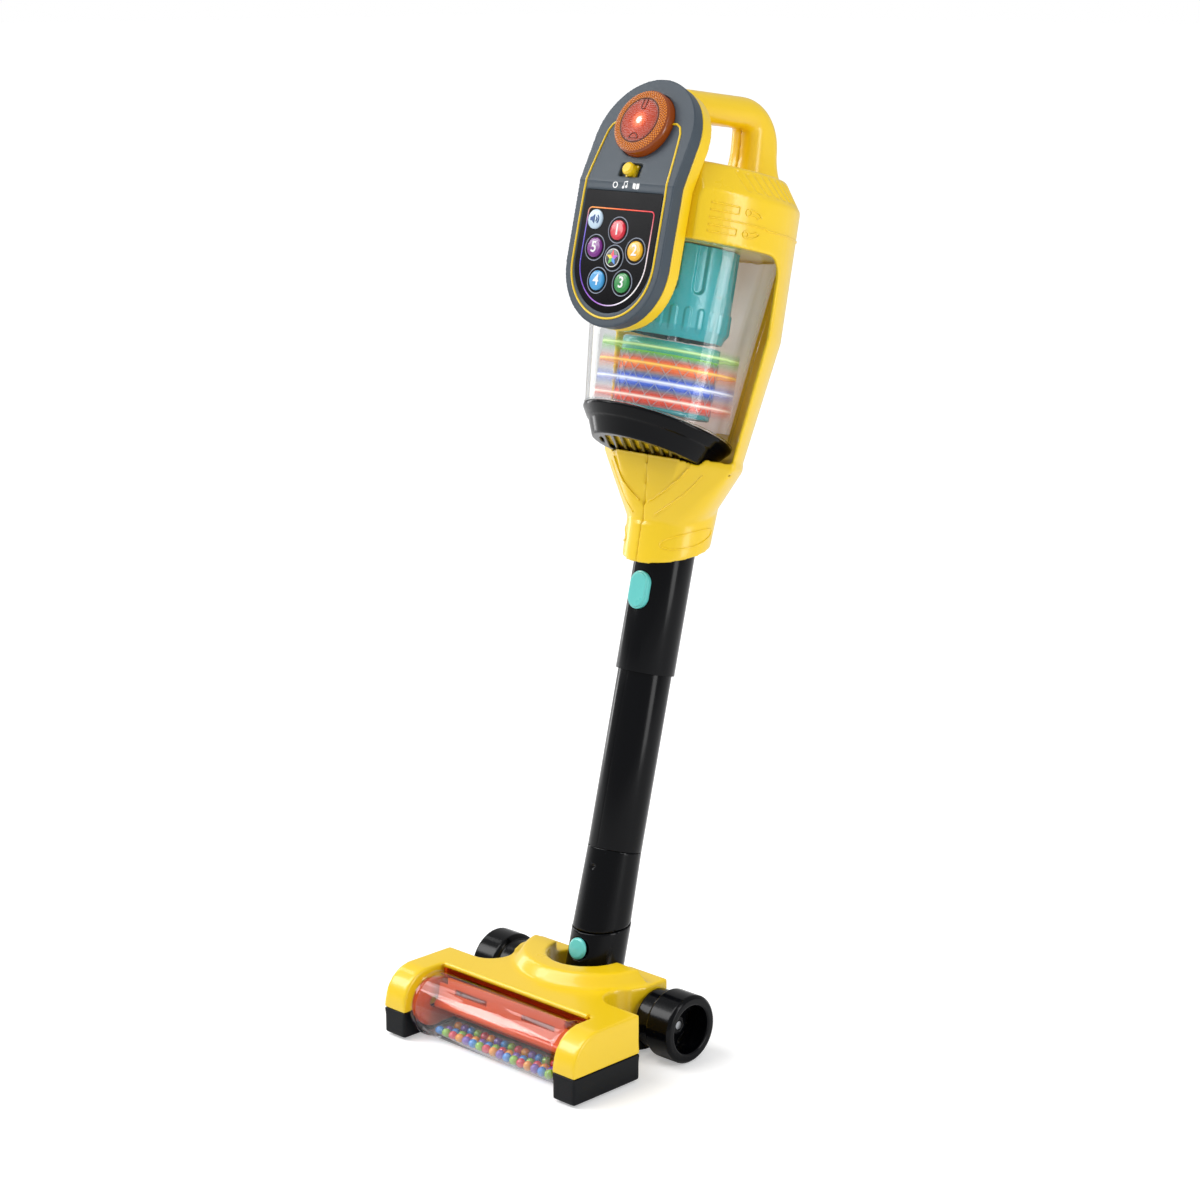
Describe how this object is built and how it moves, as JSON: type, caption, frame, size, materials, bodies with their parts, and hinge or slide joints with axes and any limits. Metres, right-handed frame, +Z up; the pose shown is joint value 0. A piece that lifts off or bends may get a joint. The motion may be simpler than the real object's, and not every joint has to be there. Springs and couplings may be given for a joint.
{
  "type": "toy vacuum cleaner",
  "caption": "Toy stick vacuum: floor head with a clear bead drum and wheels, tilting black stick, lift-off yellow hand unit with clear canister, key panel and loop handle.",
  "frame": {"origin": "on the floor below the wheel axis, in the middle plane", "axes": "+Z up, front of the toy towards -Y, +X to the right of a viewer in front"},
  "size_m": [0.195, 0.2944, 0.6606],
  "materials": {
    "yellow_plastic": "glossy yellow moulding",
    "black_base": "satin black moulding",
    "black_gloss": "glossy black moulding",
    "orange_plastic": "orange moulding",
    "clear_plastic": "clear moulding",
    "slate_plastic": "satin slate moulding",
    "display_gloss": "gloss black sheet",
    "teal_plastic": "teal moulding",
    "teal_button": "light teal moulding",
    "lens_orange": "translucent orange moulding",
    "steel": "zinc plated steel",
    "white_plastic": "white moulding",
    "board": "green board",
    "bead_blue": "glossy",
    "bead_pink": "glossy",
    "bead_purple": "glossy",
    "bead_lime": "glossy",
    "bead_amber": "glossy",
    "red_plastic": "glossy",
    "green_plastic": "glossy",
    "blue_plastic": "glossy"
  },
  "bodies": {
    "head": {"head_cover": "yellow_plastic", "head_base": "black_base", "drum_cradle": "orange_plastic", "wheel_axle": "steel", "axle_caps": "black_base", "base_screws": "steel"},
    "drum": {"drum_shell": "clear_plastic", "drum_paddle": "orange_plastic", "beads_blue": "bead_blue", "beads_pink": "bead_pink", "beads_purple": "bead_purple", "beads_lime": "bead_lime", "beads_amber": "bead_amber"},
    "wheel_left": {"wheel_left": "black_gloss"},
    "wheel_right": {"wheel_right": "black_gloss"},
    "elbow": {"elbow": "black_gloss"},
    "elbow_button": {"elbow_button": "teal_button"},
    "wand": {"connector": "black_gloss", "lower_tube_left": "black_gloss", "lower_tube_right": "black_gloss", "sleeve_left": "black_gloss", "sleeve_right": "black_gloss"},
    "sleeve_button": {"sleeve_button": "teal_button"},
    "hand_unit": {"housing_left": "yellow_plastic", "housing_right": "yellow_plastic", "housing_screws": "steel", "battery_tray": "black_base", "batteries": "orange_plastic", "speaker": "black_base", "panel_backing": "yellow_plastic", "panel_bezel": "slate_plastic", "display_plate": "display_gloss", "circuit_board": "board", "key_pad": "white_plastic", "lamp_led": "white_plastic", "canister": "clear_plastic", "canister_cap": "black_gloss", "vent_plate": "yellow_plastic", "shroud": "teal_plastic", "column_shaft": "steel", "battery_door": "yellow_plastic"},
    "rotor": {"mesh_column": "white_plastic", "ring_green": "green_plastic", "ring_orange": "orange_plastic", "ring_blue": "blue_plastic", "ring_red": "red_plastic"},
    "lamp_lens": {"lamp_lens": "lens_orange"},
    "mode_slider": {"mode_slider": "yellow_plastic"},
    "key_1": {"key_1": "red_plastic"},
    "key_2": {"key_2": "bead_amber"},
    "key_3": {"key_3": "green_plastic"},
    "key_4": {"key_4": "bead_blue"},
    "key_5": {"key_5": "bead_purple"},
    "key_star": {"key_star": "display_gloss"},
    "key_volume": {"key_volume": "white_plastic"}
  },
  "joints": [
    {"name": "tilt", "type": "hinge", "parent": "head", "child": "elbow", "pos_m": [0, 0, 0.0242], "axis": [-1, 0, 0], "range_deg": [-14, 46]},
    {"name": "wheel_left_spin", "type": "hinge", "parent": "head", "child": "wheel_left", "pos_m": [-0.08, 0, 0.0242], "axis": [1, 0, 0], "continuous": true},
    {"name": "wheel_right_spin", "type": "hinge", "parent": "head", "child": "wheel_right", "pos_m": [0.08, 0, 0.0242], "axis": [1, 0, 0], "continuous": true},
    {"name": "drum_spin", "type": "hinge", "parent": "head", "child": "drum", "pos_m": [0, -0.086, 0.0235], "axis": [1, 0, 0], "continuous": true},
    {"name": "elbow_button_press", "type": "slide", "parent": "elbow", "child": "elbow_button", "axis": [0, 0.9703, -0.2419], "range_m": [0, 0.002], "stiffness_N_per_m": 800},
    {"name": "wand_pull", "type": "slide", "parent": "elbow", "child": "wand", "axis": [0, 0.2419, 0.9703], "range_m": [0, 0.045]},
    {"name": "sleeve_button_press", "type": "slide", "parent": "wand", "child": "sleeve_button", "axis": [0, 0.9703, -0.2419], "range_m": [0, 0.002], "stiffness_N_per_m": 800},
    {"name": "hand_unit_lift", "type": "slide", "parent": "wand", "child": "hand_unit", "axis": [0, 0.2419, 0.9703], "range_m": [0, 0.06]},
    {"name": "rotor_spin", "type": "hinge", "parent": "hand_unit", "child": "rotor", "pos_m": [0, 0.07734, 0.45839], "axis": [0, 0.2419, 0.9703], "continuous": true},
    {"name": "lamp_press", "type": "slide", "parent": "hand_unit", "child": "lamp_lens", "axis": [0, 0.8771, -0.4802], "range_m": [0, 0.002], "stiffness_N_per_m": 600},
    {"name": "mode_slide", "type": "slide", "parent": "hand_unit", "child": "mode_slider", "axis": [1, 0, 0], "range_m": [-0.0042, 0.0042]},
    {"name": "key_1_press", "type": "slide", "parent": "hand_unit", "child": "key_1", "axis": [0, 0.9703, -0.2419], "range_m": [0, 0.0008], "stiffness_N_per_m": 500},
    {"name": "key_2_press", "type": "slide", "parent": "hand_unit", "child": "key_2", "axis": [0, 0.9703, -0.2419], "range_m": [0, 0.0008], "stiffness_N_per_m": 500},
    {"name": "key_3_press", "type": "slide", "parent": "hand_unit", "child": "key_3", "axis": [0, 0.9703, -0.2419], "range_m": [0, 0.0008], "stiffness_N_per_m": 500},
    {"name": "key_4_press", "type": "slide", "parent": "hand_unit", "child": "key_4", "axis": [0, 0.9703, -0.2419], "range_m": [0, 0.0008], "stiffness_N_per_m": 500},
    {"name": "key_5_press", "type": "slide", "parent": "hand_unit", "child": "key_5", "axis": [0, 0.9703, -0.2419], "range_m": [0, 0.0008], "stiffness_N_per_m": 500},
    {"name": "key_star_press", "type": "slide", "parent": "hand_unit", "child": "key_star", "axis": [0, 0.9703, -0.2419], "range_m": [0, 0.0008], "stiffness_N_per_m": 500},
    {"name": "key_volume_press", "type": "slide", "parent": "hand_unit", "child": "key_volume", "axis": [0, 0.9703, -0.2419], "range_m": [0, 0.0008], "stiffness_N_per_m": 500}
  ]
}
